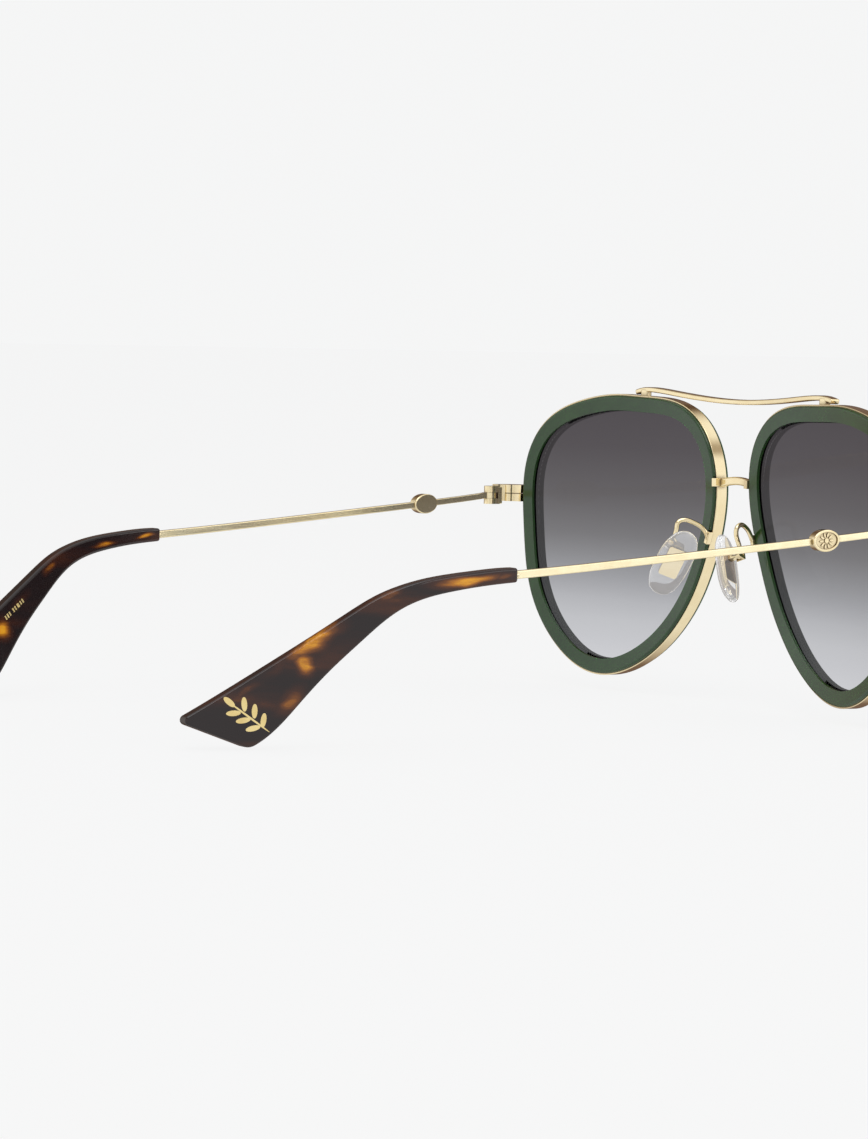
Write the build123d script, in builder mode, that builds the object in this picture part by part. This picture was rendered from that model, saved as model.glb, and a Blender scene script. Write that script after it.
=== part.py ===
from build123d import *
from math import sin, cos, pi, radians, hypot, atan2, degrees
import os

# Aviator sunglasses, size 57-17-140.  Units mm.
# Frame: +X is the wearer's left, the front faces -Y, the temples run to +Y, +Z is up.
# Origin: on the plane of symmetry, midway between the two lens centres.
# Everything is drawn for the wearer's left (+X) side and mirrored about YZ.

# ----------------------------------------------------------------- driving sizes
LENS_WIDTH = 57.0        # boxed lens width
LENS_GAP = 17.0          # distance between lenses at the nose
LENS_CX = (LENS_WIDTH + LENS_GAP) / 2
# lens outline as a polar Fourier series (mean radius, then cos/sin pairs)
LENS_SERIES = [27.179, 1.2, 2.075, 1.06, -1.881, -0.153, 1.869, -0.897, -0.08,
               0.17, -0.039, -0.3, 0.05, -0.088, -0.159]
FACE_FORM = 0.1058       # rad, each rim turns back towards its outer edge
BASE_R = 184.0           # radius of the curve the rims and lenses follow
SAG0 = 27.0 ** 2 / (2 * BASE_R)

RING_OUT, RING_IN = 2.47, -0.53        # acetate ring, offsets from the lens outline
RING_BACK, RING_FRONT = 1.87, -1.92    # depth of its faces, + towards the wearer
RIM_OUT, RIM_IN = 2.78, 1.80           # metal rim
RIM_BACK, RIM_FRONT = 1.23, -1.30
LENS_BACK, LENS_FRONT = 1.30, -0.70    # lens faces
LENS_BEVEL = 0.50                      # bevel that seats in the ring's groove
SECTION_SHEAR = 27.0 / BASE_R          # sections lean with the base curve
GAP = 0.03                             # assembly clearance

BAR_Z, BAR_H, BAR_D = 28.1, 1.0, 2.0   # brow bar
BRIDGE_Z, BRIDGE_H = 12.0, 1.6         # lower bridge

HINGE_X, HINGE_Y = 71.88, 10.80        # hinge pin
BARREL_R = 1.30
BARREL_Z = [4.80, 5.98, 7.17, 8.50]
PIN_R = 0.60
PIN_CLEAR = 0.03
PIECE_Z0, PIECE_Z1 = 5.45, 8.85        # end piece
SPLIT_Z = 7.10                         # rim split and closing block split
SPLIT_GAP = 0.16

TEMPLE_IN = radians(2.96)              # temples converge towards the tips
BAR_T = 1.0                            # temple bar thickness
MEDAL_Y, MEDAL_Z = 27.15, 4.86
TIP_T = 2.8                            # temple tip thickness

PAD_C = Vector(9.5, 6.3, -3.9)         # nose pad centre
PAD_A = Vector(0.476, 0.147, -0.867).normalized()    # along the pad, downwards
PAD_N = Vector(-0.807, 0.466, -0.363)                # face normal, towards the nose
PAD_N = (PAD_N - PAD_A * PAD_N.dot(PAD_A)).normalized()
PAD_B = PAD_A.cross(PAD_N).normalized()              # across the pad, backwards
PAD_L, PAD_W, PAD_T = 14.8, 7.2, 1.9

# ----------------------------------------------------------------- construction
LENS_PLANE = Plane(origin=(LENS_CX, 0, 0), x_dir=(cos(FACE_FORM), sin(FACE_FORM), 0),
                   z_dir=(sin(FACE_FORM), -cos(FACE_FORM), 0))
BACK_DIR = Vector(-sin(FACE_FORM), cos(FACE_FORM), 0)
CURVE_C = Vector(LENS_CX, 0, 0) + BACK_DIR * (BASE_R - SAG0)
TEMPLE_PLANE = Plane(origin=(HINGE_X, HINGE_Y, 0), x_dir=(-sin(TEMPLE_IN), cos(TEMPLE_IN), 0),
                     z_dir=(cos(TEMPLE_IN), sin(TEMPLE_IN), 0))


def outline(off, n=64):
    """Points of the lens outline offset outwards by off, in the lens plane."""
    pts = []
    for i in range(n):
        t = 2 * pi * i / n
        r, dr = LENS_SERIES[0], 0.0
        for k in range(1, 8):
            a, b = LENS_SERIES[2 * k - 1], LENS_SERIES[2 * k]
            r += a * cos(k * t) + b * sin(k * t)
            dr += k * (-a * sin(k * t) + b * cos(k * t))
        x, y = r * cos(t), r * sin(t)
        tx, ty = dr * cos(t) - r * sin(t), dr * sin(t) + r * cos(t)
        m = hypot(tx, ty)
        pts.append((x + off * ty / m, y - off * tx / m))
    return pts


def rim_frame(v, nose=True):
    """Plane on the lens outline at height v: x outwards, y along the rim, z to the front,
    with its origin on the curved layer of depth 0."""
    best = None
    n = 2880
    for i in range(n):
        t = 2 * pi * i / n
        r, dr = LENS_SERIES[0], 0.0
        for k in range(1, 8):
            a, b = LENS_SERIES[2 * k - 1], LENS_SERIES[2 * k]
            r += a * cos(k * t) + b * sin(k * t)
            dr += k * (-a * sin(k * t) + b * cos(k * t))
        x, y = r * cos(t), r * sin(t)
        if (x < 0) != nose:
            continue
        tx, ty = dr * cos(t) - r * sin(t), dr * sin(t) + r * cos(t)
        m = hypot(tx, ty)
        if best is None or abs(y - v) < best[0]:
            best = (abs(y - v), x, y, ty / m, -tx / m)
    _, x, y, nx, ny = best
    w = (x * x + y * y) / (2 * BASE_R) - SAG0
    o = LENS_PLANE.from_local_coords(Vector(x, y, -w))
    xd = LENS_PLANE.x_dir * nx + Vector(0, 0, 1) * ny
    return Plane(origin=o, x_dir=xd, z_dir=LENS_PLANE.z_dir)


def place(plane, x, y, depth):
    """Point at x outwards, y along the rim, depth towards the wearer."""
    return plane.from_local_coords(Vector(x, y, -depth))


def temple_pts(pairs):
    """(Y, Z) pairs of the row frame into the temple plane."""
    return [((y - HINGE_Y) / cos(TEMPLE_IN), z) for y, z in pairs]


os.makedirs("parts", exist_ok=True)


def finish(part, label):
    part.label = label
    export_step(part, "parts/" + label + ".step")


# ----------------------------------------------------------------- seats on the rim
BRIDGE_F = rim_frame(BRIDGE_Z)
PAD_F = rim_frame(1.9)
END_F = rim_frame(7.2, nose=False)
BRIDGE_LOC = Plane(origin=place(BRIDGE_F, 2.90, -0.15, 1.0), x_dir=BRIDGE_F.x_dir,
                   z_dir=BRIDGE_F.z_dir).location
PAD_ROOT_LOC = Plane(origin=place(PAD_F, 2.58, 0, 2.1), x_dir=PAD_F.x_dir,
                     z_dir=PAD_F.z_dir).location
END_LOC = Plane(origin=place(END_F, 2.75, -0.1, 0), x_dir=END_F.x_dir,
                z_dir=END_F.z_dir).location


def hit_box(loc, dx, dy, dz):
    """Box tool at a location, kept out of every builder."""
    return Box(dx, dy, dz, mode=Mode.PRIVATE).moved(loc)


def rail_points(n=48):
    """The lens outline laid on the base curve, in the row frame."""
    pts = []
    for x, y in outline(0.0, n):
        w = (x * x + y * y) / (2 * BASE_R) - SAG0
        pts.append(LENS_PLANE.from_local_coords(Vector(x, y, -w)))
    return pts


# rail that every section of the rim and the ring follows, and the guide behind it that
# keeps the sections square to the lens plane
with BuildLine() as rail_line:
    Spline(*rail_points(), periodic=True)
RAIL = rail_line.edges()[0]
GUIDE = RAIL.translate(BACK_DIR * 6)
SECTION_PLANE = Plane(origin=RAIL @ 0, x_dir=(RAIL % 0).cross(LENS_PLANE.z_dir),
                      z_dir=RAIL % 0)


def sheared(pts):
    """Section points (outward offset, depth) onto the leaning section."""
    return [(d, w + SECTION_SHEAR * d) for d, w in pts]


# space the rim fills out to its outer wall, used to trim whatever is soldered to it
with BuildPart() as rim_zone:
    with BuildSketch(SECTION_PLANE):
        with BuildLine():
            Polyline(*sheared([(1.2, 2.6), (RIM_OUT, 2.6), (RIM_OUT, -2.6), (1.2, -2.6)]), close=True)
        make_face()
    sweep(path=RAIL, binormal=GUIDE)

# metal rim: a flat band that follows the base curve, open at the closing block
with BuildPart() as rim_left:
    with BuildSketch(SECTION_PLANE) as rim_section:
        with BuildLine():
            Polyline(*sheared([(RIM_IN, RIM_BACK), (RIM_OUT, RIM_BACK), (RIM_OUT, RIM_FRONT),
                               (RIM_IN, RIM_FRONT)]), close=True)
        make_face()
        fillet(rim_section.vertices(), 0.10)
    sweep(path=RAIL, binormal=GUIDE)
    with Locations((LENS_CX + 31, 4, SPLIT_Z)):
        Box(8, 12, SPLIT_GAP, mode=Mode.SUBTRACT)
finish(rim_left.part, "rim_left")

# acetate ring: rounded section, groove outside for the rim and inside for the lens bevel,
# small seats in its rear lip for the bridge, the end piece and the pad arm
LENS_MID = (LENS_BACK + LENS_FRONT) / 2
LENS_HALF = (LENS_BACK - LENS_FRONT) / 2
with BuildPart() as ring_left:
    with BuildSketch(SECTION_PLANE) as ring_section:
        with BuildLine():
            Polyline(*sheared([
                (RING_IN, RING_BACK), (RING_OUT, RING_BACK - 0.05), (RING_OUT, RIM_BACK + GAP),
                (RIM_IN - GAP, RIM_BACK + GAP), (RIM_IN - GAP, RIM_FRONT - GAP),
                (RING_OUT, RIM_FRONT - GAP), (RING_OUT, RING_FRONT), (RING_IN, RING_FRONT),
                (RING_IN, LENS_MID - LENS_HALF - GAP),
                (0.04, LENS_MID - LENS_HALF + LENS_BEVEL - GAP),
                (0.04, LENS_MID + LENS_HALF - LENS_BEVEL + GAP),
                (RING_IN, LENS_MID + LENS_HALF + GAP)]), close=True)
        make_face()
        corners = ring_section.vertices()

        def near(d, w):
            x, y = sheared([(d, w)])[0]
            return corners.sort_by(lambda v: hypot(v.X - x, v.Y - y))[0]
        fillet(near(RING_OUT, RING_BACK - 0.05), 0.45)
        fillet(near(RING_IN, RING_BACK), 0.42)
        fillet(near(RING_OUT, RING_FRONT), 0.45)
        fillet(near(RING_IN, RING_FRONT), 0.55)
    sweep(path=RAIL, binormal=GUIDE)
    add(hit_box(BRIDGE_LOC, 1.5, 2.1, 3.0), mode=Mode.SUBTRACT)
    add(hit_box(PAD_ROOT_LOC, 1.30, 3.0, 1.6), mode=Mode.SUBTRACT)
    add(hit_box(END_LOC, 0.9, 3.9, 8), mode=Mode.SUBTRACT)
finish(ring_left.part, "ring_left")

# lens: a curved plate with a bevelled edge
with BuildPart() as lens_left:
    with BuildSketch(LENS_PLANE):
        with BuildLine():
            Spline(*outline(0.0, 48), periodic=True)
        make_face()
    extrude(amount=12, both=True)
    with Locations(CURVE_C):
        Sphere(BASE_R - LENS_FRONT, mode=Mode.INTERSECT)
        Sphere(BASE_R - LENS_BACK, mode=Mode.SUBTRACT)
    chamfer(lens_left.edges().sort_by(SortBy.LENGTH)[-2:], LENS_BEVEL)
finish(lens_left.part, "lens_left")

# brow bar: flat strip bowed down in the middle, its ends dropping past the posts
BAR_PATH = [(-34.1, -0.85, 29.10), (-31.6, -0.90, 29.62), (-27.5, -1.0, 29.68), (-20, -1.3, 29.10),
            (-10, -1.75, 28.38), (0, -1.9, BAR_Z), (10, -1.75, 28.38), (20, -1.3, 29.10),
            (27.5, -1.0, 29.68), (31.6, -0.90, 29.62), (34.1, -0.85, 29.10)]
with BuildPart() as brow_bar:
    with BuildLine() as bar_line:
        Spline(*BAR_PATH)
    with BuildSketch(Plane(origin=bar_line.line @ 0, x_dir=(0, 1, 0), z_dir=bar_line.line % 0)):
        RectangleRounded(BAR_D, BAR_H, 0.30)
    sweep(path=bar_line.line, binormal=bar_line.line.translate((0, 8, 0)).edges()[0])
    fillet(brow_bar.faces().sort_by(Axis.X)[-1].edges(), 0.25)
    fillet(brow_bar.faces().sort_by(Axis.X)[0].edges(), 0.25)

# posts between the bar and the rims, one each side
POST_X, POST_Y = 31.1, -0.55
with BuildPart() as brow_post_left:
    with BuildSketch(Plane.XY.offset(27.6)):
        with Locations((POST_X, POST_Y)):
            RectangleRounded(2.2, 1.5, 0.5)
    extrude(amount=2.0)
    add(brow_bar.part, mode=Mode.SUBTRACT)
    add(rim_zone.part, mode=Mode.SUBTRACT)
    post_solid = max(brow_post_left.solids(), key=lambda q: q.volume if 28.2 < q.center().Z < 29.4 else 0)
with BuildPart() as brow_post_left:
    add(post_solid)
finish(brow_bar.part, "brow_bar")
finish(brow_post_left.part, "brow_post_left")

# lower bridge: arched bar between two tabs that wrap the rims and sit on the rings
TAB_P = place(BRIDGE_F, 3.05, 0, 0.72)
with BuildPart() as bridge:
    with BuildLine() as arch:
        Spline((-TAB_P.X + 0.15, -2.0, BRIDGE_Z), (-3.2, -2.25, 12.38), (0, -2.35, 12.62),
               (3.2, -2.25, 12.38), (TAB_P.X - 0.15, -2.0, BRIDGE_Z))
    with BuildSketch(Plane(origin=arch.line @ 0, x_dir=(0, 1, 0), z_dir=arch.line % 0)):
        RectangleRounded(1.25, BRIDGE_H, 0.40)
    sweep(path=arch.line, binormal=arch.line.translate((0, 8, 0)).edges()[0])
    # tab over the rim, and the lip that hooks on the ring
    add(hit_box(Plane(origin=place(BRIDGE_F, 3.02, 0, 0.70), x_dir=BRIDGE_F.x_dir,
                      z_dir=BRIDGE_F.z_dir).location, 0.95, BRIDGE_H, 2.5))
    add(hit_box(Plane(origin=place(BRIDGE_F, 2.86, 0, 1.98), x_dir=BRIDGE_F.x_dir,
                      z_dir=BRIDGE_F.z_dir).location, 1.28, BRIDGE_H, 1.0))
    mirror(bridge.part, about=Plane.YZ)
    add(rim_left.part, mode=Mode.SUBTRACT)
    add(mirror(rim_left.part, about=Plane.YZ, mode=Mode.PRIVATE), mode=Mode.SUBTRACT)
finish(bridge.part, "bridge")

# end piece: lug from the rim round to the hinge plate, upper half of the closing block,
# and the top and bottom hinge barrels
BLOCK_X = 71.2
with BuildPart() as lug_block:
    with BuildSketch(Plane.XY.offset(PIECE_Z0)):
        with BuildLine():
            outer = Spline((68.6, 2.95), (70.5, 3.25), (72.2, 4.3), (73.0, 6.4), (73.15, 9.55),
                           tangents=((1, 0.05), (0, 1)))
            l1 = Line(outer @ 1, (70.75, 9.55))
            hollow = Spline(l1 @ 1, (70.62, 8.9), (70.15, 8.25), tangents=((0, -1), (-1, -0.6)))
            ridge = ThreePointArc(hollow @ 1, (69.42, 7.86), (69.22, 7.15))
            cheek = Spline(ridge @ 1, (68.75, 6.45), (67.9, 5.95), (66.6, 5.7))
            Polyline(cheek @ 1, (66.6, 3.0), outer @ 0)
        make_face()
    extrude(amount=PIECE_Z1 - PIECE_Z0)
    add(rim_zone.part, mode=Mode.SUBTRACT)
LUG = max(lug_block.part.solids(), key=lambda q: q.volume)

with BuildPart() as closing_half:
    with BuildSketch(Plane.XY.offset(PIECE_Z0 - 1)):
        with BuildLine():
            Polyline((64, 0), (BLOCK_X, 0), (BLOCK_X, 7.2), (70.1, 8.3), (64, 8.3), close=True)
        make_face()
    extrude(amount=SPLIT_Z - SPLIT_GAP / 2 - PIECE_Z0 + 1)
with BuildPart() as closing_space:
    with BuildSketch(Plane.XY.offset(PIECE_Z0 - 1)):
        with BuildLine():
            Polyline((64, 0), (BLOCK_X + 0.06, 0), (BLOCK_X + 0.06, 7.22), (70.14, 8.36), (64, 8.36),
                     close=True)
        make_face()
    extrude(amount=SPLIT_Z + SPLIT_GAP / 2 - PIECE_Z0 + 1)

SCREW_X, SCREW_Y, SCREW_R = 70.0, 5.7, 0.55
with BuildPart() as end_piece_left:
    add(LUG)
    add(closing_space.part, mode=Mode.SUBTRACT)
    # hinge plate
    with BuildSketch(Plane.XZ.offset(-9.7)):
        with Locations((HINGE_X, (BARREL_Z[0] + BARREL_Z[3]) / 2)):
            RectangleRounded(2.62, BARREL_Z[3] - BARREL_Z[0] - 0.1, 0.3)
    extrude(amount=1.0)
    # barrels
    for z0, z1 in ((BARREL_Z[0], BARREL_Z[1] - GAP), (BARREL_Z[2] + GAP, BARREL_Z[3])):
        with BuildSketch(Plane.XY.offset(z0)):
            with Locations((HINGE_X, HINGE_Y)):
                Circle(BARREL_R)
            with Locations((HINGE_X, HINGE_Y - 0.9)):
                Rectangle(2 * BARREL_R - 0.1, 1.4)
        extrude(amount=z1 - z0)
    # room for the middle barrel
    with BuildSketch(Plane.XY.offset(BARREL_Z[1] - GAP)):
        with Locations((HINGE_X, HINGE_Y)):
            Circle(BARREL_R + 0.12)
    extrude(amount=BARREL_Z[2] - BARREL_Z[1] + 2 * GAP, mode=Mode.SUBTRACT)
    # pin bore and head seat
    with Locations((HINGE_X, HINGE_Y, 6.6)):
        Cylinder(PIN_R + 0.0, 6, mode=Mode.SUBTRACT)
    with Locations((HINGE_X, HINGE_Y, BARREL_Z[3])):
        Cylinder(0.95, 0.9, mode=Mode.SUBTRACT)
    # rim screw thread
    with Locations((SCREW_X, SCREW_Y, SPLIT_Z)):
        Cylinder(SCREW_R, 2.4, mode=Mode.SUBTRACT)
finish(end_piece_left.part, "end_piece_left")

# lower half of the closing block
with BuildPart() as rim_lock_left:
    add(LUG)
    add(closing_half.part, mode=Mode.INTERSECT)
    with Locations((SCREW_X, SCREW_Y, SPLIT_Z)):
        Cylinder(SCREW_R + 0.03, 8, mode=Mode.SUBTRACT)
    with Locations((SCREW_X, SCREW_Y, PIECE_Z0)):
        Cylinder(0.95, 1.1, mode=Mode.SUBTRACT)
finish(rim_lock_left.part, "rim_lock_left")

# rim screw, slotted head below
with BuildPart() as rim_screw_left:
    with BuildSketch(Plane.XY.offset(PIECE_Z0 + 0.5)):
        with Locations((SCREW_X, SCREW_Y)):
            Circle(SCREW_R)
    extrude(amount=SPLIT_Z + 1.15 - PIECE_Z0 - 0.5)
    with BuildSketch(Plane.XY.offset(PIECE_Z0 + 0.02)):
        with Locations((SCREW_X, SCREW_Y)):
            Circle(0.92)
    extrude(amount=0.5)
    with Locations((SCREW_X, SCREW_Y, PIECE_Z0 + 0.02)):
        Box(2.4, 0.28, 0.5, mode=Mode.SUBTRACT)
finish(rim_screw_left.part, "rim_screw_left")

# hinge screw: shaft through the three barrels, slotted head let into the top barrel
with BuildPart() as hinge_screw_left:
    with BuildSketch(Plane.XY.offset(BARREL_Z[0] + 0.05)):
        with Locations((HINGE_X, HINGE_Y)):
            Circle(PIN_R)
    extrude(amount=BARREL_Z[3] - 0.4 - BARREL_Z[0])
    with BuildSketch(Plane.XY.offset(BARREL_Z[3] - 0.44)):
        with Locations((HINGE_X, HINGE_Y)):
            Circle(0.92)
    extrude(amount=0.40)
    with Locations((HINGE_X, HINGE_Y, BARREL_Z[3] - 0.05)):
        Box(0.28, 2.4, 0.42, mode=Mode.SUBTRACT)
finish(hinge_screw_left.part, "hinge_screw_left")

# temple: middle barrel, flat bar and the core wire inside the tip
BAR_AXIS = [(12.3, 6.52), (14.0, 6.30), (20.0, 5.60), (27.15, 4.86), (36.5, 3.95), (50.0, 2.66),
            (65.5, 1.16), (80.7, -0.24), (90.9, -1.08)]
BAR_TOP = temple_pts([(y, z + 0.62 + 0.0014 * (y - 12)) for y, z in BAR_AXIS])
BAR_LOW = temple_pts([(y, z - 0.62 - 0.0014 * (y - 12)) for y, z in BAR_AXIS])
WIRE_AXIS = [TEMPLE_PLANE.from_local_coords(Vector(*p)) for p in [(79.31, -1.0, 0.003), (86.27, -1.75, -0.078), (92.98, -2.79, -0.642), (98.54, -4.4, -1.516), (104.77, -8.12, -3.063), (110.83, -12.99, -4.998), (116.85, -18.0, -7.09)]]
with BuildPart() as bar_blank:
    with BuildSketch(TEMPLE_PLANE):
        with BuildLine():
            top = Spline(*BAR_TOP)
            low = Spline(*BAR_LOW)
            Line(top @ 0, low @ 0)
            Line(top @ 1, low @ 1)
        make_face()
    extrude(amount=BAR_T / 2, both=True)
    fillet(bar_blank.edges().filter_by(lambda e: e.length > 50), 0.18)
BAR_BLANK = bar_blank.part

with BuildPart() as temple_arm_left:
    add(BAR_BLANK)
    # neck into the hinge, the height of the middle barrel
    with BuildSketch(TEMPLE_PLANE):
        with BuildLine():
            Polyline((0.2, BARREL_Z[1] + 0.02), (0.2, BARREL_Z[2] - 0.02), (1.6, BARREL_Z[2] - 0.02),
                     (2.3, 6.98), (2.9, 6.90), (2.9, 5.80), (1.7, 5.98 + 0.02), close=True)
        make_face()
    extrude(amount=BAR_T / 2, both=True)
    with BuildSketch(Plane.XY.offset(BARREL_Z[1] + 0.02)):
        with Locations((HINGE_X, HINGE_Y)):
            Circle(BARREL_R - 0.02)
    extrude(amount=BARREL_Z[2] - BARREL_Z[1] - 0.04)
    with Locations((HINGE_X, HINGE_Y, 6.6)):
        Cylinder(PIN_R + PIN_CLEAR, 6, mode=Mode.SUBTRACT)
    with BuildLine() as wire_line:
        Spline(*WIRE_AXIS)
    WIRE = wire_line.edges()[0].trim(0, 0.985)
    with BuildSketch(Plane(origin=WIRE @ 0, z_dir=WIRE % 0)):
        Circle(0.60)
    sweep(path=WIRE)
finish(temple_arm_left.part, "temple_arm_left")

# medallion: oval boss threaded on the bar, raised rim and plain sunburst on its outer face
MS, MZ = temple_pts([(MEDAL_Y, MEDAL_Z)])[0]
MEDAL_ANGLE = degrees(atan2(3.95 - 5.60, 36.5 - 20.0))
MEDAL_L, MEDAL_H = 5.5, 4.0
with BuildPart() as medallion_left:
    with BuildSketch(TEMPLE_PLANE.offset(-0.85)):
        with Locations(Location((MS, MZ), MEDAL_ANGLE)):
            Ellipse(MEDAL_L / 2, MEDAL_H / 2)
    extrude(amount=2.1)
    fillet(medallion_left.faces().sort_by(Axis.X)[0].edges(), 0.22)
    fillet(medallion_left.faces().sort_by(Axis.X)[-1].edges(), 0.15)
    with BuildSketch(TEMPLE_PLANE.offset(1.25)):
        with Locations(Location((MS, MZ), MEDAL_ANGLE)):
            Ellipse(MEDAL_L / 2 - 0.42, MEDAL_H / 2 - 0.42)
    extrude(amount=-0.28, mode=Mode.SUBTRACT)
    with BuildSketch(TEMPLE_PLANE.offset(0.97)):
        with Locations(Location((MS, MZ), MEDAL_ANGLE)):
            with PolarLocations(1.05, 10):
                Ellipse(0.42, 0.16)
            Circle(0.42)
    extrude(amount=0.20)
    add(BAR_BLANK, mode=Mode.SUBTRACT)
    medal_solid = max(medallion_left.solids(), key=lambda q: q.volume)
finish(medal_solid, "medallion_left")

# temple tip: acetate paddle that curves in towards the head.  CURL is its plan view:
# distance along the tip's own slope, and offset outwards from the temple plane
CURL_SLOPE = radians(35)
CURL = [(-20, 0), (-10, 0), (0, 0), (4, 0), (10, -0.3), (14, -0.8), (18, -1.45), (22.5, -2.35), (27, -3.4), (32, -4.65), (37, -5.95), (43, -7.6), (50, -9.5), (57, -11.2), (64, -12.7), (72, -14.2)]
CURL_DIR = TEMPLE_PLANE.x_dir * cos(CURL_SLOPE) - Vector(0, 0, 1) * sin(CURL_SLOPE)
CURL_PLANE = Plane(origin=TEMPLE_PLANE.from_local_coords(Vector(79.2, 0, 0)), x_dir=CURL_DIR,
                   z_dir=CURL_DIR.cross(TEMPLE_PLANE.z_dir))
with BuildLine() as curl_line:
    Spline(*CURL)
CURL_EDGE = curl_line.edges()[0]


def curl_curve(off, n=30):
    """The plan curve offset outwards by off."""
    pts = []
    for i in range(n + 1):
        p, t = CURL_EDGE @ (i / n), CURL_EDGE % (i / n)
        pts.append((p.X - off * t.Y, p.Y + off * t.X))
    return pts


def curl_sheet(a, b):
    """Curved sheet between two offsets from the tip's middle surface."""
    with BuildPart() as sheet:
        with BuildSketch(CURL_PLANE):
            with BuildLine():
                low = Spline(*curl_curve(a))
                high = Spline(*curl_curve(b))
                Line(low @ 0, high @ 0)
                Line(low @ 1, high @ 1)
            make_face()
        extrude(amount=45, both=True)
    return sheet.part


TIP_TOP = [(79.91, 0.25), (82.81, 0.15), (87.76, -0.33), (92.48, -0.93), (97.26, -1.82), (101.48, -3.07), (104.98, -4.58), (109.98, -7.74), (114.86, -11.14), (119.81, -14.53), (127.95, -20.0), (138.8, -26.76)]
TIP_LOW = [(125.97, -31.52), (123.38, -29.87), (117.33, -23.04), (112.64, -17.4), (107.79, -12.46), (104.35, -9.18), (101.19, -6.87), (97.03, -5.04), (92.28, -3.89), (87.62, -3.11), (82.81, -2.55), (79.91, -2.3)]
with BuildPart() as temple_tip_left:
    with BuildSketch(TEMPLE_PLANE) as tip_outline:
        with BuildLine():
            tip_top = Spline(*TIP_TOP)
            tip_end = Line(tip_top @ 1, TIP_LOW[0])
            tip_low = Spline(*TIP_LOW)
            tip_face = Line(tip_low @ 1, tip_top @ 0)
        make_face()
        fillet(tip_outline.vertices().sort_by(Axis.X)[-1], 0.9)
        fillet(tip_outline.vertices().sort_by(Axis.Y)[0], 2.4)
        fillet(tip_outline.vertices().sort_by(Axis.X)[:2], 0.50)
    extrude(amount=22, both=True)
    add(curl_sheet(-TIP_T / 2, TIP_T / 2), mode=Mode.INTERSECT)
    broad = temple_tip_left.faces().sort_by(SortBy.AREA)[-2:]
    fillet(broad[0].edges() + broad[1].edges(), 0.48)
    # bore for the core wire
    BORE = wire_line.edges()[0]
    with BuildSketch(Plane(origin=BORE @ 0, z_dir=BORE % 0)):
        Circle(0.63)
    sweep(path=BORE, mode=Mode.SUBTRACT)
    # pocket for the bar's end
    add(BAR_BLANK, mode=Mode.SUBTRACT)

# gold foil inlay on the outer face: a plain sprig of leaves, set flush
with BuildPart() as tip_inlay_left:
    with BuildSketch(TEMPLE_PLANE):
        with Locations(Location((127.06, -25.68), 35)):
            with Locations((-0.6, 0.1)):
                Ellipse(4.6, 0.17)
            for x, y, a in ((-3.0, 1.10, 58), (-2.4, -1.05, -48), (-0.7, 1.45, 52), (-0.1, -0.95, -44),
                            (1.55, 1.35, 46), (2.1, -0.95, -38), (3.95, 0.15, 4)):
                with Locations(Location((x, y), a)):
                    Ellipse(1.28, 0.50)
    extrude(amount=22, both=True)
    add(curl_sheet(TIP_T / 2 - 0.22, TIP_T / 2), mode=Mode.INTERSECT)

# plain size row on the inner face of the left tip: short dashes of equal height
with BuildPart() as size_mark_left:
    with BuildSketch(TEMPLE_PLANE):
        with Locations(Location((116.2, -14.9), -35.5)):
            for k, wdt in ((-2.75, 0.34), (-2.1, 0.34), (-1.3, 0.62), (-0.45, 0.34), (0.2, 0.34),
                           (1.35, 0.34), (2.0, 0.34), (2.65, 0.34)):
                with Locations((k, 0)):
                    Rectangle(wdt, 0.85)
    extrude(amount=22, both=True)
    add(curl_sheet(-TIP_T / 2, -TIP_T / 2 + 0.12), mode=Mode.INTERSECT)

with BuildPart() as temple_tip_marked:
    add(temple_tip_left.part)
    add(tip_inlay_left.part, mode=Mode.SUBTRACT)
with BuildPart() as temple_tip_right:
    mirror(temple_tip_marked.part, about=Plane.YZ)
finish(temple_tip_right.part, "temple_tip_right")
with BuildPart() as temple_tip_full:
    add(temple_tip_marked.part)
    add(size_mark_left.part, mode=Mode.SUBTRACT)
finish(temple_tip_full.part, "temple_tip_left")
finish(tip_inlay_left.part, "tip_inlay_left")
finish(size_mark_left.part, "size_mark_left")

# ----------------------------------------------------------------- nose pads
PAD_PLANE = Plane(origin=PAD_C, x_dir=PAD_B, z_dir=PAD_N)      # x back, y down, z to the nose
BOX_C = PAD_C - PAD_N * 2.75 - PAD_A * 2.0
BOX_PLANE = Plane(origin=BOX_C, x_dir=PAD_B, z_dir=PAD_N)
SCREW_PLANE = Plane(origin=BOX_C, x_dir=PAD_N, z_dir=PAD_B)    # z along the pad screw
PAD_PIN_R = 0.35

# insert: a thin plate inside the pad with a tongue for the pad box
with BuildPart() as pad_core_left:
    with BuildSketch(PAD_PLANE.offset(-0.55)):
        RectangleRounded(3.7, 6.2, 0.5)
    extrude(amount=0.5)
    with BuildSketch(PAD_PLANE.offset(-0.55)):
        with Locations((0, -2.0)):
            RectangleRounded(1.3, 1.5, 0.2)
    extrude(amount=-2.2)
    with BuildSketch(SCREW_PLANE.offset(-0.65)):
        Circle(0.85)
    extrude(amount=1.3)
    with BuildSketch(SCREW_PLANE.offset(-2)):
        Circle(PAD_PIN_R + 0.04)
    extrude(amount=4, mode=Mode.SUBTRACT)
finish(pad_core_left.part, "pad_core_left")

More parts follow.
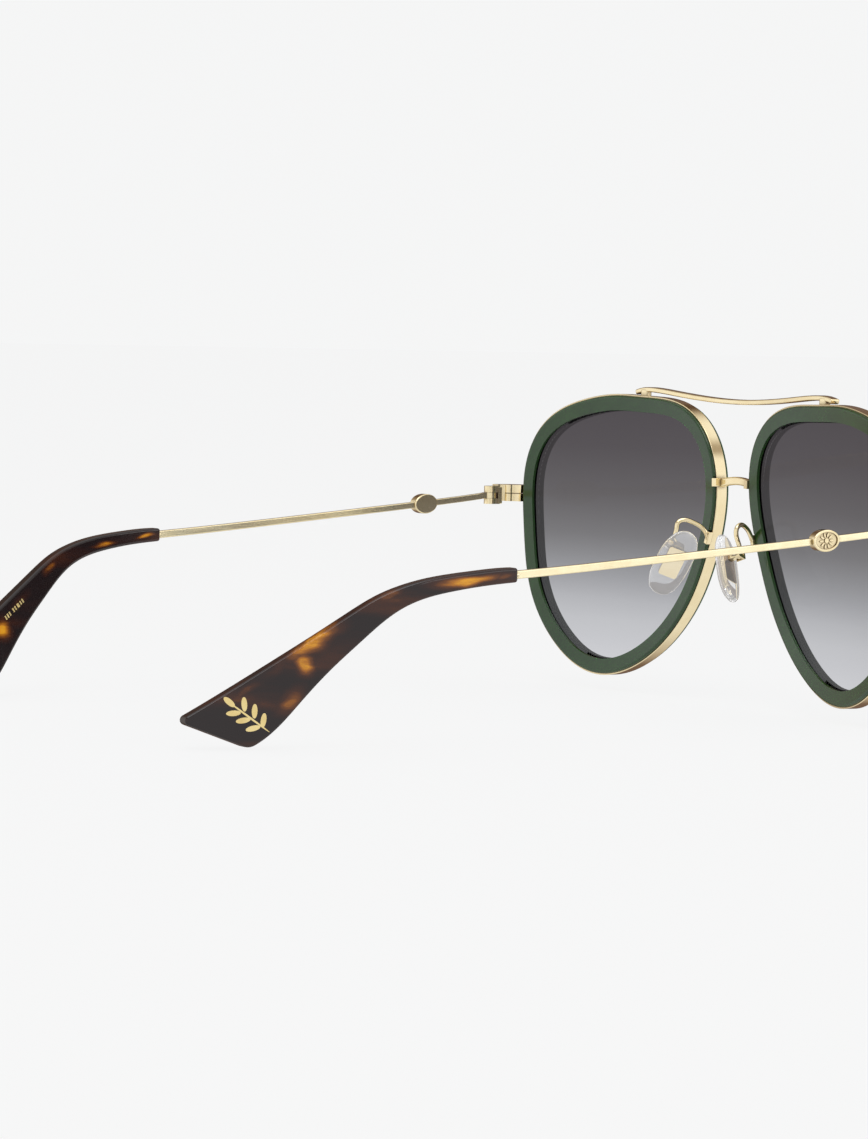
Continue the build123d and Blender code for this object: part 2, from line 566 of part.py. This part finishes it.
# pad: clear rounded tear shape moulded round the insert
with BuildPart() as nose_pad_left:
    with BuildSketch(PAD_PLANE.offset(-0.85)) as pad_shape:
        with BuildLine():
            Spline((-0.3, -PAD_L / 2), (-2.3, -6.5), (-3.5, -3.9), (-3.6, -0.3), (-3.35, 3.2),
                   (-2.3, 6.3), (-0.1, PAD_L / 2), (2.2, 6.6), (3.4, 3.9), (3.6, 0.3),
                   (3.3, -3.4), (1.9, -6.4), periodic=True)
        make_face()
    extrude(amount=PAD_T)
    fillet(nose_pad_left.edges().filter_by(lambda e: e.length > 20), 0.80)
    add(pad_core_left.part, mode=Mode.SUBTRACT)
    with BuildSketch(SCREW_PLANE.offset(-2)):
        Circle(PAD_PIN_R + 0.04)
    extrude(amount=4, mode=Mode.SUBTRACT)
    pad_solid = max(nose_pad_left.solids(), key=lambda q: q.volume)
with BuildPart() as nose_pad_left:
    add(pad_solid)
finish(nose_pad_left.part, "nose_pad_left")

# pad arm: solder foot on the rim, bent wire, and the pad box
FOOT = place(PAD_F, 2.62, 0.5, 2.3)
with BuildPart() as pad_arm_left:
    add(hit_box(Plane(origin=place(PAD_F, 2.55, 0, 2.22), x_dir=PAD_F.x_dir,
                      z_dir=PAD_F.z_dir).location, 1.00, 2.6, 1.10))
    fillet(pad_arm_left.edges(), 0.18)
    with BuildLine() as arm_line:
        Spline(FOOT, (8.2, 0.50, 3.05), (9.2, 2.2, 4.15), (10.0, 3.75, 4.50),
               (10.35, 4.75, 3.95), (10.45, 5.0, 2.75), (11.0, 4.95, 1.4), BOX_C - PAD_N * 0.62 - PAD_A * 0.3)
    with BuildSketch(Plane(origin=arm_line.line @ 0, z_dir=arm_line.line % 0)):
        Circle(0.46)
    sweep(path=arm_line.line)
    with BuildSketch(BOX_PLANE.offset(-0.95)):
        RectangleRounded(2.5, 2.0, 0.3)
    extrude(amount=1.75)
    with BuildSketch(BOX_PLANE.offset(-0.50)):
        Rectangle(1.42, 3)
    extrude(amount=3, mode=Mode.SUBTRACT)
    with BuildSketch(SCREW_PLANE):
        Circle(1.02)
    extrude(amount=0.71, both=True, mode=Mode.SUBTRACT)
    with BuildSketch(SCREW_PLANE.offset(-2)):
        Circle(PAD_PIN_R)
    extrude(amount=4, mode=Mode.SUBTRACT)
arm_solid = max(pad_arm_left.part.solids(), key=lambda q: q.volume)
finish(arm_solid, "pad_arm_left")

# pad screw: shaft through the box and the tongue, domed slotted head at the back
with BuildPart() as pad_screw_left:
    with BuildSketch(SCREW_PLANE.offset(-1.3)):
        Circle(PAD_PIN_R)
    extrude(amount=2.6)
    with BuildSketch(SCREW_PLANE.offset(1.26)):
        Circle(0.72)
    extrude(amount=0.45)
    fillet(pad_screw_left.faces().sort_by(lambda f: (f.center() - BOX_C).dot(PAD_B))[-1].edges(), 0.2)
    with BuildSketch(SCREW_PLANE.offset(1.5)):
        Rectangle(2, 0.2)
    extrude(amount=0.5, mode=Mode.SUBTRACT)
finish(pad_screw_left.part, "pad_screw_left")

# ----------------------------------------------------------------- the wearer's right side
for solid, label in ((rim_left.part, "rim_right"), (ring_left.part, "ring_right"),
                     (lens_left.part, "lens_right"), (brow_post_left.part, "brow_post_right"),
                     (end_piece_left.part, "end_piece_right"), (rim_lock_left.part, "rim_lock_right"),
                     (rim_screw_left.part, "rim_screw_right"), (hinge_screw_left.part, "hinge_screw_right"),
                     (temple_arm_left.part, "temple_arm_right"), (medal_solid, "medallion_right"),
                     (tip_inlay_left.part, "tip_inlay_right"), (pad_core_left.part, "pad_core_right"),
                     (nose_pad_left.part, "nose_pad_right"), (arm_solid, "pad_arm_right"),
                     (pad_screw_left.part, "pad_screw_right")):
    with BuildPart() as right_piece:
        mirror(solid, about=Plane.YZ)
    finish(right_piece.part, label)
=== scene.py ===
"""Glasses with green acetate rims, gold metalwork, gradient lenses and tortoise tips.

Metres, +Z up. The front faces -Y, the temples run back along +Y, and the wearer's left is +X.
The camera stands behind the glasses on the -X side, just above their level.
"""
import bpy
import bmesh
import math
from functools import cached_property
from mathutils import Vector, Matrix


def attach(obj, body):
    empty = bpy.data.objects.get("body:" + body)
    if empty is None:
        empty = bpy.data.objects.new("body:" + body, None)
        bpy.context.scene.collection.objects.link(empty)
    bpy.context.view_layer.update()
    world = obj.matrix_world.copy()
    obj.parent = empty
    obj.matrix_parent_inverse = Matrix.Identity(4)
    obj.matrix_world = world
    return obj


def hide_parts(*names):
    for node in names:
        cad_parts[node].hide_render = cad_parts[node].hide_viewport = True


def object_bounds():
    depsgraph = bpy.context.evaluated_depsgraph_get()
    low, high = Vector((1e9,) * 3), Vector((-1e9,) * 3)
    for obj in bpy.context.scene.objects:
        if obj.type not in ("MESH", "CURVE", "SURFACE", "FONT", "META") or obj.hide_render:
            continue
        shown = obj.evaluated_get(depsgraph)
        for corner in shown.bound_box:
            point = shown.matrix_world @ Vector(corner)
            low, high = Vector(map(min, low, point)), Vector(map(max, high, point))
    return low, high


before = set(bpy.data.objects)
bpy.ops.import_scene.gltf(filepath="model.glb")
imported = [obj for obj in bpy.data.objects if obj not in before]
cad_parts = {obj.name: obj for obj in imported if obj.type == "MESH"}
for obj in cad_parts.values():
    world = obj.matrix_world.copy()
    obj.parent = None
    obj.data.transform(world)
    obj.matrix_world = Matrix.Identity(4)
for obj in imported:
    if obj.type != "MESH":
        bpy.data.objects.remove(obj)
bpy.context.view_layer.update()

MM = 0.001
LENS_HALF_HEIGHT = 0.026    # the lens and rim gradients run over this much each side of z = 0
ACETATE_IOR = 1.5


# ------------------------------------------------------------------ node graphs
def rgba(colour):
    """Opaque RGBA from a grey level or an RGB triple."""
    if isinstance(colour, (int, float)):
        colour = (colour,) * 3
    return (*colour, 1)


class Graph:
    """Builds the shader nodes of a material or a world. An input is a value or a socket."""

    def __init__(self, owner):
        owner.use_nodes = True
        self.owner = owner
        self.tree = owner.node_tree
        self.tree.nodes.clear()

    @cached_property
    def coordinates(self):
        return self.node("ShaderNodeTexCoord").outputs

    def node(self, kind, inputs=None, **settings):
        node = self.tree.nodes.new(kind)
        for name, value in settings.items():
            setattr(node, name, value)
        for key, value in (inputs or {}).items():
            if isinstance(value, bpy.types.NodeSocket):
                self.tree.links.new(value, node.inputs[key])
            else:
                node.inputs[key].default_value = value
        return node

    def shader(self, kind, inputs):
        return self.node(kind, inputs).outputs[0]

    def placed(self, scale=(1, 1, 1), tilt=0.0):
        """Object coordinates, scaled, and turned about X by tilt degrees."""
        return self.node("ShaderNodeMapping", {
            "Vector": self.coordinates["Object"], "Scale": scale,
            "Rotation": (math.radians(tilt), 0, 0)}).outputs["Vector"]

    def noise(self, vector, scale, detail=4.0, roughness=0.55, distortion=0.0, output="Fac"):
        return self.node("ShaderNodeTexNoise", {
            "Vector": vector, "Scale": scale, "Detail": detail,
            "Roughness": roughness, "Distortion": distortion}).outputs[output]

    def ramp(self, factor, stops):
        """Colour ramp through stops of (position, colour)."""
        node = self.node("ShaderNodeValToRGB", {"Fac": factor})
        elements = node.color_ramp.elements
        while len(elements) > 1:
            elements.remove(elements[0])
        elements[0].position = stops[0][0]
        elements[0].color = rgba(stops[0][1])
        for position, colour in stops[1:]:
            elements.new(position).color = rgba(colour)
        return node.outputs["Color"]

    def remap(self, value, span, to=(0.0, 1.0)):
        return self.node("ShaderNodeMapRange", {
            "Value": value, "From Min": span[0], "From Max": span[1],
            "To Min": to[0], "To Max": to[1]}).outputs["Result"]

    def arithmetic(self, operation, *operands):
        return self.node("ShaderNodeMath", dict(enumerate(operands)),
                         operation=operation).outputs[0]

    def vector_math(self, operation, inputs, output="Vector"):
        return self.node("ShaderNodeVectorMath", inputs, operation=operation).outputs[output]

    def mix(self, factor, first, second, blend="MIX"):
        first, second = (rgba(c) if isinstance(c, tuple) else c for c in (first, second))
        # sockets 6 and 7 and output 2 are the colour ones
        return self.node("ShaderNodeMix", {0: factor, 6: first, 7: second},
                         data_type="RGBA", blend_type=blend).outputs[2]

    def mix_shader(self, factor, first, second):
        return self.shader("ShaderNodeMixShader", {0: factor, 1: first, 2: second})

    def bump(self, height, strength, distance):
        return self.node("ShaderNodeBump", {
            "Height": height, "Strength": strength, "Distance": distance}).outputs["Normal"]

    def ray_types(self):
        return self.node("ShaderNodeLightPath").outputs

    def lens_height(self):
        """0 at the bottom of the lens gradients, 1 at the top."""
        axes = self.node("ShaderNodeSeparateXYZ", {0: self.coordinates["Object"]})
        return self.remap(axes.outputs["Z"], span=(-LENS_HALF_HEIGHT, LENS_HALF_HEIGHT))

    def finish(self, shader, output="ShaderNodeOutputMaterial"):
        self.node(output, {"Surface": shader})
        return self.owner


def material_graph(name):
    return Graph(bpy.data.materials.new(name))


# ------------------------------------------------------------------ materials
def metal(name, base, dark, roughness, bump=0.06, brushed=False):
    graph = material_graph(name)
    coords = graph.placed()
    tone = graph.noise(coords, scale=260, detail=5, roughness=0.6)
    colour = graph.mix(graph.remap(tone, span=(0.35, 0.7)), base, dark)
    # painted shade: ambient occlusion darkens the colour towards a dark gold in creases and
    # crevices
    occlusion = graph.node("ShaderNodeAmbientOcclusion", {"Distance": 0.0009}, samples=6)
    crease_shade_mask = graph.remap(occlusion.outputs["AO"], span=(0.35, 0.95), to=(1.0, 0.0))
    painted_crease_shade = (dark[0] * 0.20, dark[1] * 0.15, dark[2] * 0.13)
    grain_scale = (1, 0.05, 1) if brushed else (1, 1, 1)
    grain = graph.noise(graph.placed(grain_scale), scale=1800, detail=6, roughness=0.7)
    relief = graph.noise(coords, scale=700, detail=3)
    return graph.finish(graph.shader("ShaderNodeBsdfPrincipled", {
        "Metallic": 1.0,
        # base colour with painted shade in the creases
        "Base Color": graph.mix(crease_shade_mask, colour, painted_crease_shade),
        "Roughness": graph.remap(grain, span=(0.3, 0.7), to=(roughness * 0.75, roughness * 1.35)),
        "Normal": graph.bump(relief, strength=bump, distance=0.00004)}))


# (height, grey) of the painted reflection on the rim walls: an emission that stands in for their
# sheen
PAINTED_RIM_SHEEN = [(0.0, 0.13), (0.16, 0.115), (0.34, 0.16), (0.50, 0.26),
             (0.66, 0.38), (0.85, 0.50), (1.0, 0.55)]


def green_acetate():
    graph = material_graph("green_acetate_polished")
    coords = graph.placed()
    cloud = graph.noise(coords, scale=90, distortion=0.8)
    grain = graph.noise(coords, scale=1500, detail=5)
    relief = graph.noise(coords, scale=160, detail=2)
    body = graph.shader("ShaderNodeBsdfPrincipled", {
        "Base Color": graph.mix(graph.remap(cloud, span=(0.3, 0.7)),
                                (0.0095, 0.036, 0.0075), (0.0155, 0.050, 0.0105)),
        "IOR": ACETATE_IOR,
        "Subsurface Weight": 0.25,
        "Subsurface Radius": (0.0006, 0.0016, 0.0006),
        "Subsurface Scale": 0.6,
        "Roughness": graph.remap(grain, span=(0.3, 0.7), to=(0.07, 0.13)),
        "Normal": graph.bump(relief, strength=0.10, distance=0.00005)})
    # polished inner wall seen through the lens: its sheen is a painted reflection, an even grey
    # emission set by height
    painted_sheen = graph.shader("ShaderNodeEmission", {
        "Color": graph.ramp(graph.lens_height(), PAINTED_RIM_SHEEN)})
    painted_sheen_share = 0.85
    factor = graph.arithmetic("MULTIPLY", graph.ray_types()["Is Transmission Ray"], painted_sheen_share)
    return graph.finish(graph.mix_shader(factor, body, painted_sheen))


# amber patches on the tips: centre x, y, z (mm), half length and half height (mm),
# slope (degrees), strength
PATCHES = [
    (-61.1, 127.0, -12.9, 6.6, 2.2, -33, 1.0), (-60.3, 128.1, -16.5, 1.9, 2.6, -20, 0.9),
    (-68.4, 100.5, -1.9, 7.4, 1.25, -8, 1.0), (-68.9, 93.5, -1.2, 2.4, 1.0, -6, 0.62),
    (-65.5, 114.4, -4.9, 2.6, 0.9, -22, 0.62), (-56.7, 137.8, -21.4, 3.4, 1.0, -34, 0.50),
    (-53.3, 149.3, -26.8, 1.4, 0.9, -30, 0.75), (-58.6, 129.9, -23.0, 3.0, 1.8, -44, 0.70),
    (-58.0, 131.5, -16.2, 4.2, 1.1, -36, 0.42), (66.2, 94.1, -1.5, 2.6, 0.55, -8, 0.95),
    (65.0, 103.7, -2.8, 3.0, 0.7, -9, 0.95), (61.7, 117.1, -7.0, 2.2, 0.9, -38, 0.70),
    (56.5, 129.6, -18.9, 2.3, 2.4, -45, 1.0), (58.6, 125.0, -13.2, 3.0, 0.8, -35, 0.35),
    (53.0, 143.0, -27.4, 3.2, 1.4, -35, 0.85)]
PATCH_HALF_DEPTH = 3.4    # mm, across the tip
PATCH_SPREAD = 1.25       # the falloff is this much larger than the patch

# (amount of amber, colour)
TORTOISE_COLOURS = [
    (0.0, (0.0085, 0.0040, 0.0042)), (0.20, (0.0165, 0.0050, 0.0040)),
    (0.42, (0.040, 0.010, 0.0035)), (0.62, (0.135, 0.040, 0.0045)),
    (0.80, (0.36, 0.125, 0.007)), (1.0, (0.66, 0.29, 0.014))]


def warped_position(graph):
    """Object position, shifted by noise so that the patches get ragged edges."""
    warp = graph.noise(graph.placed((1.0, 0.38, 1.25), tilt=30), scale=260, detail=2.5,
                       roughness=0.5, output="Color")
    centred = graph.vector_math("SUBTRACT", {0: warp, 1: (0.5, 0.5, 0.5)})
    offset = graph.vector_math("SCALE", {0: centred, "Scale": 0.0026})
    return graph.vector_math("ADD", {0: graph.coordinates["Object"], 1: offset})


def amber_patches(graph):
    """Strength of the strongest patch at each point."""
    position = warped_position(graph)
    strongest = None
    for x, y, z, half_length, half_height, slope, strength in PATCHES:
        local = graph.node("ShaderNodeMapping", {
            "Vector": position,
            "Location": (x * MM, y * MM, z * MM),
            "Rotation": (math.radians(slope), 0, 0),
            "Scale": (PATCH_HALF_DEPTH * MM, half_length * PATCH_SPREAD * MM,
                      half_height * PATCH_SPREAD * MM)}, vector_type="TEXTURE").outputs[0]
        distance = graph.vector_math("LENGTH", {0: local}, output="Value")
        patch = graph.remap(distance, span=(0.25, 1.15), to=(strength, 0.0))
        if strongest is None:
            strongest = patch
        else:
            strongest = graph.arithmetic("MAXIMUM", strongest, patch)
    return strongest


def tortoise():
    graph = material_graph("tortoise_acetate_polished")
    # faint streaks everywhere, and fine ones inside the patches
    along = graph.placed((0.8, 0.16, 1.3), tilt=32)
    broad = graph.remap(graph.noise(along, scale=150, detail=3, roughness=0.5, distortion=0.5),
                        span=(0.44, 0.76), to=(0.0, 0.62))
    fine = graph.remap(graph.noise(along, scale=800, detail=3),
                       span=(0.3, 0.7), to=(0.80, 1.06))
    amber = graph.arithmetic("MAXIMUM", amber_patches(graph), broad)
    grain = graph.noise(graph.placed(), scale=1500, detail=5)
    relief = graph.noise(graph.placed(), scale=140, detail=2)
    return graph.finish(graph.shader("ShaderNodeBsdfPrincipled", {
        "Base Color": graph.ramp(graph.arithmetic("MULTIPLY", amber, fine), TORTOISE_COLOURS),
        "IOR": ACETATE_IOR,
        "Roughness": graph.remap(grain, span=(0.3, 0.7), to=(0.08, 0.15)),
        "Normal": graph.bump(relief, strength=0.08, distance=0.00005)}))


# (height, light passed by the whole lens); each of its two surfaces passes the square root
LENS_TINT = [
    (0.0, (0.68, 0.685, 0.715)), (0.10, (0.615, 0.62, 0.65)), (0.17, (0.58, 0.585, 0.612)),
    (0.25, (0.50, 0.505, 0.53)), (0.34, (0.372, 0.376, 0.396)), (0.50, (0.212, 0.208, 0.217)),
    (0.66, (0.142, 0.134, 0.141)), (0.85, (0.102, 0.092, 0.100)), (1.0, (0.090, 0.080, 0.088))]


def lens_tint():
    graph = material_graph("lens_gradient_tint")
    ior = 1.5
    unevenness = 0.012     # how far noise shifts the gradient
    reflection = 0.14      # share of the full Fresnel reflection
    grain = graph.noise(graph.placed(), scale=60, detail=2)
    height = graph.arithmetic("MULTIPLY_ADD", grain, unevenness, graph.lens_height())
    tint = graph.ramp(height, [(position, tuple(math.sqrt(channel) for channel in passed))
                               for position, passed in LENS_TINT])
    refraction = graph.shader("ShaderNodeBsdfRefraction", {
        "Color": tint, "IOR": ior, "Roughness": 0.0})
    gloss = graph.shader("ShaderNodeBsdfGlossy", {"Roughness": 0.02})
    fresnel = graph.shader("ShaderNodeFresnel", {"IOR": ior})
    glass = graph.mix_shader(graph.arithmetic("MULTIPLY", fresnel, reflection),
                             refraction, gloss)
    # shadows and diffuse light pass through tinted
    clear = graph.shader("ShaderNodeBsdfTransparent", {"Color": tint})
    rays = graph.ray_types()
    passing = graph.arithmetic("MAXIMUM", rays["Is Shadow Ray"], rays["Is Diffuse Ray"])
    return graph.finish(graph.mix_shader(passing, glass, clear))


def pad_silicone():
    graph = material_graph("nose_pad_clear_silicone")
    coords = graph.placed()
    haze = graph.noise(coords, scale=220, detail=3)
    relief = graph.noise(coords, scale=350, detail=2)
    silicone = graph.shader("ShaderNodeBsdfPrincipled", {
        "Base Color": graph.mix(haze, (0.99, 0.99, 0.995), (0.95, 0.955, 0.96)),
        "Transmission Weight": 0.93,
        "IOR": 1.40,
        "Roughness": graph.remap(haze, span=(0.3, 0.7), to=(0.02, 0.09)),
        "Normal": graph.bump(relief, strength=0.05, distance=0.00004)})
    # painted light: a pale emission makes the pads glow evenly, standing in for light scattered
    # in their milky silicone
    painted_glow = graph.shader("ShaderNodeEmission", {"Color": rgba((0.86, 0.86, 0.87))})
    painted_glow_share = 0.11
    body = graph.mix_shader(painted_glow_share, silicone, painted_glow)
    # the pads cast no shadow
    clear = graph.shader("ShaderNodeBsdfTransparent", {})
    return graph.finish(graph.mix_shader(graph.ray_types()["Is Shadow Ray"], body, clear))


GOLD = metal("gold_polished", base=(0.93, 0.80, 0.52), dark=(0.88, 0.735, 0.45), roughness=0.13)
GOLD_FLAT = metal("gold_temple", base=(0.94, 0.83, 0.56), dark=(0.90, 0.77, 0.49),
                  roughness=0.20, bump=0.04, brushed=True)
FOIL = metal("gold_foil", base=(0.93, 0.76, 0.36), dark=(0.80, 0.60, 0.24),
             roughness=0.30, bump=0.25)
STEEL = metal("steel_screw", base=(0.72, 0.70, 0.67), dark=(0.55, 0.53, 0.50), roughness=0.22)
GREEN = green_acetate()
TORTOISE = tortoise()
LENS = lens_tint()
PAD = pad_silicone()


def material_for(name):
    if "screw" in name and not name.startswith(("ring", "lens", "temple_tip",
                                                "tip_inlay", "size_mark")):
        return STEEL if name.startswith("pad") else GOLD
    for prefix, material in (("ring", GREEN), ("lens", LENS), ("temple_tip", TORTOISE),
                             ("tip_inlay", FOIL), ("size_mark", FOIL),
                             ("nose_pad", PAD), ("temple_arm", GOLD_FLAT)):
        if name.startswith(prefix):
            return material
    return GOLD


for name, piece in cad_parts.items():
    material = material_for(name)
    if not piece.material_slots:
        piece.data.materials.append(material)
    for slot in piece.material_slots:
        slot.material = material


# ------------------------------------------------------------------ nose pads
# the left pad's own axes: down its length, out of its nose face, and backwards
PAD_DOWN = Vector((0.476, 0.147, -0.867)).normalized()
PAD_OUT = Vector((-0.807, 0.466, -0.363))
PAD_OUT = (PAD_OUT - PAD_DOWN * PAD_OUT.dot(PAD_DOWN)).normalized()
PAD_BACK = PAD_DOWN.cross(PAD_OUT).normalized()
PAD_CENTRE = Vector((9.5, 6.3, -3.9))    # mm

# (backwards, down) in mm: points on a smooth closed outline
PAD_OUTLINE = [
    (-0.3, -7.4), (-2.3, -6.5), (-3.5, -3.9), (-3.6, -0.3), (-3.35, 3.2), (-2.3, 6.3),
    (-0.1, 7.4), (2.2, 6.6), (3.4, 3.9), (3.6, 0.3), (3.3, -3.4), (1.9, -6.4)]
OUTLINE_STEPS = 6    # per outline point

# (share of the outline, mm out) from the nose face's centre, round the edge,
# to the back's centre
PAD_PROFILE = [
    (0.0, 1.02), (0.35, 1.00), (0.62, 0.93), (0.82, 0.74), (0.94, 0.45), (0.995, 0.08),
    (0.97, -0.38), (0.88, -0.68), (0.74, -0.80), (0.45, -0.83), (0.0, -0.84)]


def closed_curve(points, steps):
    """Catmull-Rom curve through a closed ring of points."""
    curve = []
    count = len(points)
    for i in range(count):
        before, start, end, after = (Vector(points[(i + j - 1) % count]) for j in range(4))
        for step in range(steps):
            t = step / steps
            curve.append(0.5 * ((2 * start) + (end - before) * t
                                + (2 * before - 5 * start + 4 * end - after) * t * t
                                + (3 * start - before - 3 * end + after) * t * t * t))
    return curve


def pad_point(back, down, out, side):
    """World place of a point on a pad, mirrored in X for side -1."""
    point = (PAD_CENTRE + PAD_BACK * back + PAD_DOWN * down + PAD_OUT * out) * MM
    return Vector((side * point.x, point.y, point.z))


def join_rows(bm, upper, lower):
    """Faces between two rings; either may be a single centre vertex."""
    count = max(len(upper), len(lower))
    for i in range(count):
        j = (i + 1) % count
        if len(upper) == 1:
            bm.faces.new((upper[0], lower[i], lower[j]))
        elif len(lower) == 1:
            bm.faces.new((upper[i], lower[0], upper[j]))
        else:
            bm.faces.new((upper[i], lower[i], lower[j], upper[j]))


def make_pad(tag, side):
    outline = closed_curve(PAD_OUTLINE, OUTLINE_STEPS)
    bm = bmesh.new()
    rows = []
    for share, out in PAD_PROFILE:
        ring = outline if share else [Vector((0, 0))]
        rows.append([bm.verts.new(pad_point(p.x * share, p.y * share, out, side))
                     for p in ring])
    for upper, lower in zip(rows, rows[1:]):
        join_rows(bm, upper, lower)
    bmesh.ops.recalc_face_normals(bm, faces=bm.faces)
    mesh = bpy.data.meshes.new("pad_mesh")
    bm.to_mesh(mesh)
    bm.free()
    for face in mesh.polygons:
        face.use_smooth = True
    pad = bpy.data.objects.new("pad_clear_" + tag, mesh)
    bpy.context.scene.collection.objects.link(pad)
    subdivision = pad.modifiers.new("Subdivision", "SUBSURF")
    subdivision.levels = 1
    subdivision.render_levels = 1
    mesh.materials.append(PAD)
    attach(pad, "pad_%s_body" % tag)
    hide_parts("nose_pad_" + tag)


make_pad("left", side=1)
make_pad("right", side=-1)


# ------------------------------------------------------------------ camera
AZIMUTH = math.radians(239.25)    # about Z, from straight in front
ELEVATION = math.radians(3.10)
ROLL = math.radians(1.325)
CAMERA_DISTANCE = 0.97073
SHIFT_RIGHT = -0.057343           # the aim point, from the origin in the unrolled view
SHIFT_UP = -0.0060825

TO_CAMERA = Vector((math.sin(AZIMUTH) * math.cos(ELEVATION),
                    -math.cos(AZIMUTH) * math.cos(ELEVATION),
                    math.sin(ELEVATION)))


def make_camera():
    level_right = Vector((math.cos(AZIMUTH), math.sin(AZIMUTH), 0))
    level_up = TO_CAMERA.cross(level_right)
    right = math.cos(ROLL) * level_right + math.sin(ROLL) * level_up
    up = -math.sin(ROLL) * level_right + math.cos(ROLL) * level_up
    data = bpy.data.cameras.new("camera")
    data.sensor_fit = "AUTO"
    data.sensor_width = 36.0
    data.lens = 156.3942406
    data.clip_start = 0.01
    data.clip_end = 50
    camera = bpy.data.objects.new("camera", data)
    bpy.context.scene.collection.objects.link(camera)
    placement = Matrix((right, up, TO_CAMERA)).transposed().to_4x4()
    placement.translation = (SHIFT_RIGHT * level_right + SHIFT_UP * level_up
                             + TO_CAMERA * CAMERA_DISTANCE)
    camera.matrix_world = placement
    bpy.context.scene.camera = camera


# ------------------------------------------------------------------ floor
FLOOR_GAP = 0.0004    # below the lowest point of the glasses
FLOOR_HALF = 6


def floor_material():
    graph = material_graph("floor_pale")
    glow = graph.shader("ShaderNodeEmission", {
        "Color": rgba((0.995, 0.998, 1.0)), "Strength": 0.862})
    matt = graph.shader("ShaderNodeBsdfDiffuse", {"Color": rgba(0.060)})
    return graph.finish(graph.shader("ShaderNodeAddShader", {0: glow, 1: matt}))


def make_floor():
    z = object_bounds()[0][2] - FLOOR_GAP
    corners = [(x * FLOOR_HALF, y * FLOOR_HALF, z)
               for x, y in ((-1, -1), (1, -1), (1, 1), (-1, 1))]
    mesh = bpy.data.meshes.new("floor")
    mesh.from_pydata(corners, [], [(0, 1, 2, 3)])
    floor = bpy.data.objects.new("floor", mesh)
    bpy.context.scene.collection.objects.link(floor)
    mesh.materials.append(floor_material())
    floor.visible_glossy = False


# ------------------------------------------------------------------ world
# (cosine of the angle from the direction, brightness)
AWAY_FROM_CAMERA = [
    (-1.0, 0.85), (-0.2, 1.0), (0.45, 1.0), (0.66, (0.62, 0.56, 0.50)),
    (0.82, (0.20, 0.135, 0.105)), (1.0, (0.16, 0.11, 0.09))]
UPWARD = [
    (-1.0, 0.80), (-0.35, 0.95), (0.0, 1.0), (0.40, 1.0), (0.52, (0.42, 0.36, 0.30)),
    (0.60, (0.45, 0.39, 0.33)), (0.72, 1.0), (1.0, 1.0)]


def direction_ramp(graph, direction, stops):
    cosine = graph.vector_math("DOT_PRODUCT", {0: graph.coordinates["Generated"], 1: direction},
                               output="Value")
    return graph.ramp(graph.remap(cosine, span=(-1, 1)),
                      [((position + 1) / 2, colour) for position, colour in stops])


def make_world():
    """White studio; glossy and diffuse rays also see a dark far side and a dim band above."""
    world = bpy.data.worlds.new("studio")
    bpy.context.scene.world = world
    graph = Graph(world)
    backdrop = graph.shader("ShaderNodeBackground", {"Color": rgba((0.915, 0.918, 0.918))})
    far = direction_ramp(graph, (-TO_CAMERA.x, -TO_CAMERA.y, 0.0), AWAY_FROM_CAMERA)
    tall = direction_ramp(graph, (0, 0, 1), UPWARD)
    studio = graph.shader("ShaderNodeBackground", {
        "Color": graph.mix(1.0, far, tall, blend="MULTIPLY"), "Strength": 1.04})
    rays = graph.ray_types()
    lighting = graph.arithmetic("MAXIMUM", rays["Is Glossy Ray"], rays["Is Diffuse Ray"])
    graph.finish(graph.mix_shader(lighting, backdrop, studio), output="ShaderNodeOutputWorld")


# ------------------------------------------------------------------ lights
def area_light(name, place, aim, size, watts):
    data = bpy.data.lights.new(name, "AREA")
    data.shape = "RECTANGLE"
    data.size, data.size_y = size
    data.energy = watts
    light = bpy.data.objects.new(name, data)
    bpy.context.scene.collection.objects.link(light)
    light.location = place
    direction = Vector(aim) - Vector(place)
    light.rotation_euler = direction.to_track_quat("-Z", "Y").to_euler()


make_camera()
make_floor()
make_world()
area_light("key_top", place=(-0.5, 0.5, 1.1), aim=(0, 0.06, 0), size=(0.9, 0.9), watts=5.0)
area_light("fill_side", place=(-1.1, -0.35, 0.35), aim=(0, 0.05, 0), size=(0.9, 0.7), watts=2.2)

view = bpy.context.scene.view_settings
view.view_transform = "Standard"
view.look = "None"
view.exposure = 0.0
view.gamma = 1.0
